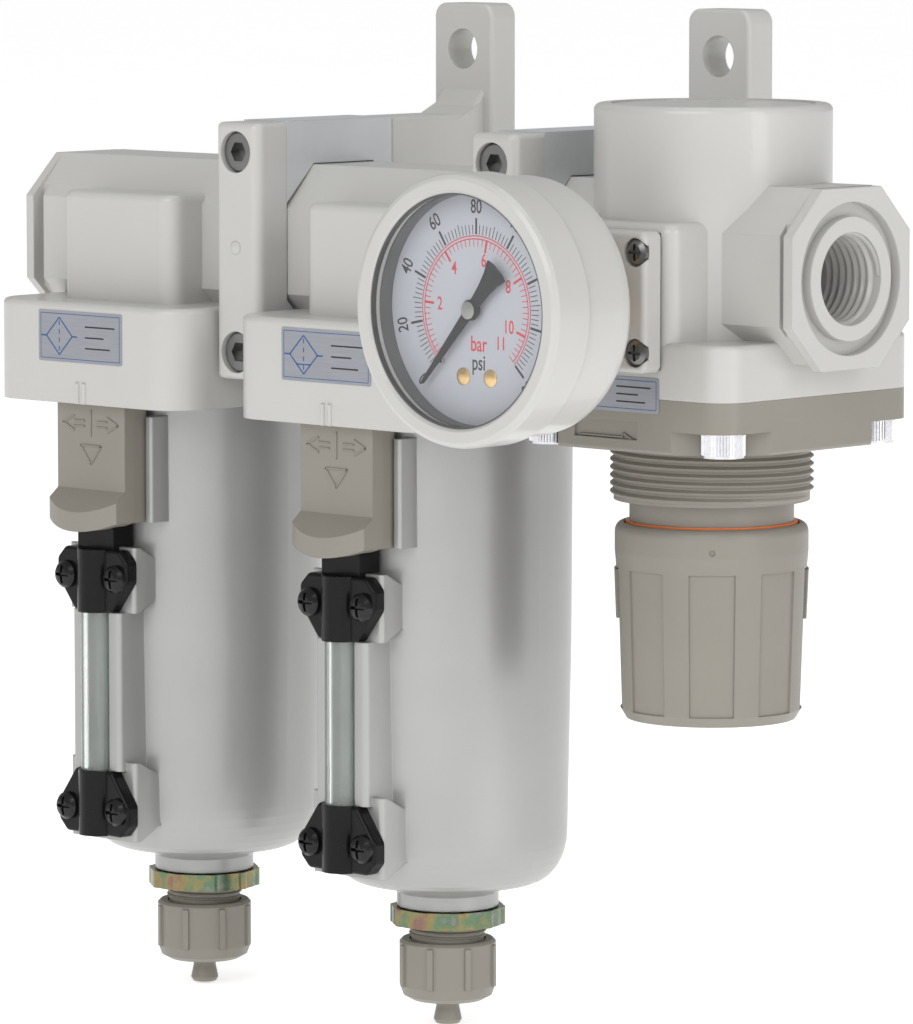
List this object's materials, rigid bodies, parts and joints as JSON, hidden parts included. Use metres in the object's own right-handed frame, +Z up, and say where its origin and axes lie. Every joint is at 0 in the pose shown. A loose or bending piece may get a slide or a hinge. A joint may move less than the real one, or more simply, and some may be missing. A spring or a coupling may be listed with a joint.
{
  "type": "filter regulator set",
  "caption": "Wall-mounted compressed-air set: filter and mist separator with metal bowls, sight gauges and drains, and a pressure regulator with a dial gauge.",
  "frame": {"origin": "centre of the inlet port's face", "axes": "+X the way the air flows, out of the outlet port; +Y towards the wall; +Z up"},
  "size_m": [0.224, 0.1295, 0.2181],
  "materials": {
    "body_paint": "satin warm-grey paint on die-cast aluminium",
    "bowl_paint": "satin metallic-grey paint",
    "taupe_plastic": "satin moulded plastic",
    "black_plastic": "gloss moulded plastic",
    "black_steel": "black-oxide steel",
    "sight_glass": "clear",
    "gauge_lens": "clear",
    "seal_rubber": "matt",
    "spring_steel": "bright wire",
    "stainless": "bright",
    "zinc_plate": "iridescent zinc plate",
    "spacer_aluminium": "satin cast",
    "brass": "machined",
    "element_media": "sintered",
    "inner_plastic": "moulded",
    "orange_plastic": "moulded",
    "dial_white": "matt printed",
    "pointer_black": "satin"
  },
  "bodies": {
    "manifold": {"filter_body": "body_paint", "filter_element": "element_media", "filter_baffle": "inner_plastic", "filter_deflector": "inner_plastic", "mist_body": "body_paint", "mist_element": "element_media", "mist_baffle": "inner_plastic", "regulator_body": "body_paint", "valve_cap": "body_paint", "valve_spring": "spring_steel", "diaphragm": "seal_rubber", "regulator_bonnet": "taupe_plastic", "bonnet_screws": "zinc_plate", "lock_ring": "orange_plastic", "adjusting_spring": "spring_steel", "gauge_plate": "body_paint", "gauge_gasket": "seal_rubber", "gauge_plate_screws": "stainless", "gauge_case": "body_paint", "gauge_lens": "gauge_lens", "gauge_dial": "dial_white", "gauge_socket": "brass", "bourdon_tube": "brass", "spacer_1": "spacer_aluminium", "clamp_front_1": "body_paint", "wall_bracket_1": "body_paint", "spacer_2": "spacer_aluminium", "clamp_front_2": "body_paint", "wall_bracket_2": "body_paint", "clamp_screws": "stainless"},
    "filter_bowl_assembly": {"filter_bowl": "bowl_paint", "filter_bowl_seal": "seal_rubber", "filter_latch_spring": "spring_steel", "filter_sight_glass": "sight_glass", "filter_bracket_upper": "black_plastic", "filter_bracket_lower": "black_plastic", "filter_sight_screws": "black_steel", "filter_collar_nut": "zinc_plate", "filter_drain_body": "taupe_plastic"},
    "filter_latch_button": {"filter_latch": "taupe_plastic"},
    "filter_drain_plunger": {"filter_drain_stem": "taupe_plastic"},
    "filter_drain_grip": {"filter_drain_knob": "taupe_plastic"},
    "mist_bowl_assembly": {"mist_bowl": "bowl_paint", "mist_bowl_seal": "seal_rubber", "mist_latch_spring": "spring_steel", "mist_sight_glass": "sight_glass", "mist_bracket_upper": "black_plastic", "mist_bracket_lower": "black_plastic", "mist_sight_screws": "black_steel", "mist_collar_nut": "zinc_plate", "mist_drain_body": "taupe_plastic"},
    "mist_latch_button": {"mist_latch": "taupe_plastic"},
    "mist_drain_plunger": {"mist_drain_stem": "taupe_plastic"},
    "mist_drain_grip": {"mist_drain_knob": "taupe_plastic"},
    "adjuster": {"adjusting_screw": "brass"},
    "knob": {"regulator_knob": "taupe_plastic"},
    "spring_seat": {"spring_seat": "brass"},
    "valve_train": {"valve": "brass", "diaphragm_plate": "brass"},
    "pointer": {"gauge_pointer": "pointer_black"}
  },
  "joints": [
    {"name": "filter_bowl_turn", "type": "hinge", "parent": "manifold", "child": "filter_bowl_assembly", "pos_m": [0.037, 0, -0.0343], "axis": [0, 0, 1], "range_deg": [-45, 45]},
    {"name": "filter_latch_press", "type": "slide", "parent": "filter_bowl_assembly", "child": "filter_latch_button", "axis": [0, 0, -1], "range_m": [0, 0.0035], "stiffness_N_per_m": 500, "springref_m": -0.002, "deforming": ["filter_latch_spring"]},
    {"name": "filter_drain_lift", "type": "slide", "parent": "filter_bowl_assembly", "child": "filter_drain_plunger", "axis": [0, 0, -1], "range_m": [0, 0.0015]},
    {"name": "filter_drain_turn", "type": "hinge", "parent": "filter_drain_plunger", "child": "filter_drain_grip", "pos_m": [0.037, 0, -0.15], "axis": [0, 0, 1], "range_deg": [0, 360]},
    {"name": "mist_bowl_turn", "type": "hinge", "parent": "manifold", "child": "mist_bowl_assembly", "pos_m": [0.112, 0, -0.0343], "axis": [0, 0, 1], "range_deg": [-45, 45]},
    {"name": "mist_latch_press", "type": "slide", "parent": "mist_bowl_assembly", "child": "mist_latch_button", "axis": [0, 0, -1], "range_m": [0, 0.0035], "stiffness_N_per_m": 500, "springref_m": -0.002, "deforming": ["mist_latch_spring"]},
    {"name": "mist_drain_lift", "type": "slide", "parent": "mist_bowl_assembly", "child": "mist_drain_plunger", "axis": [0, 0, -1], "range_m": [0, 0.0015]},
    {"name": "mist_drain_turn", "type": "hinge", "parent": "mist_drain_plunger", "child": "mist_drain_grip", "pos_m": [0.112, 0, -0.15], "axis": [0, 0, 1], "range_deg": [0, 360]},
    {"name": "pressure_adjust", "type": "hinge", "parent": "manifold", "child": "adjuster", "pos_m": [0.187, 0, -0.06], "axis": [0, 0, 1], "range_deg": [0, 1440]},
    {"name": "knob_pull", "type": "slide", "parent": "adjuster", "child": "knob", "axis": [0, 0, -1], "range_m": [0, 0.004]},
    {"name": "spring_seat_rise", "type": "slide", "parent": "manifold", "child": "spring_seat", "axis": [0, 0, 1], "range_m": [0, 0.008], "deforming": ["adjusting_spring"]},
    {"name": "valve_lift", "type": "slide", "parent": "manifold", "child": "valve_train", "axis": [0, 0, 1], "range_m": [0, 0.0025], "stiffness_N_per_m": 800, "springref_m": -0.002, "deforming": ["valve_spring"]},
    {"name": "pointer_swing", "type": "hinge", "parent": "manifold", "child": "pointer", "pos_m": [0.187, -0.0725, -0.0043], "axis": [0, 1, 0], "range_deg": [0, 270]}
  ],
  "couplings": [
    {"joint": "filter_drain_lift", "follows": "filter_drain_turn", "m_per_rad": 0.00023873},
    {"joint": "mist_drain_lift", "follows": "mist_drain_turn", "m_per_rad": 0.00023873},
    {"joint": "spring_seat_rise", "follows": "pressure_adjust", "m_per_rad": 0.00031831}
  ]
}
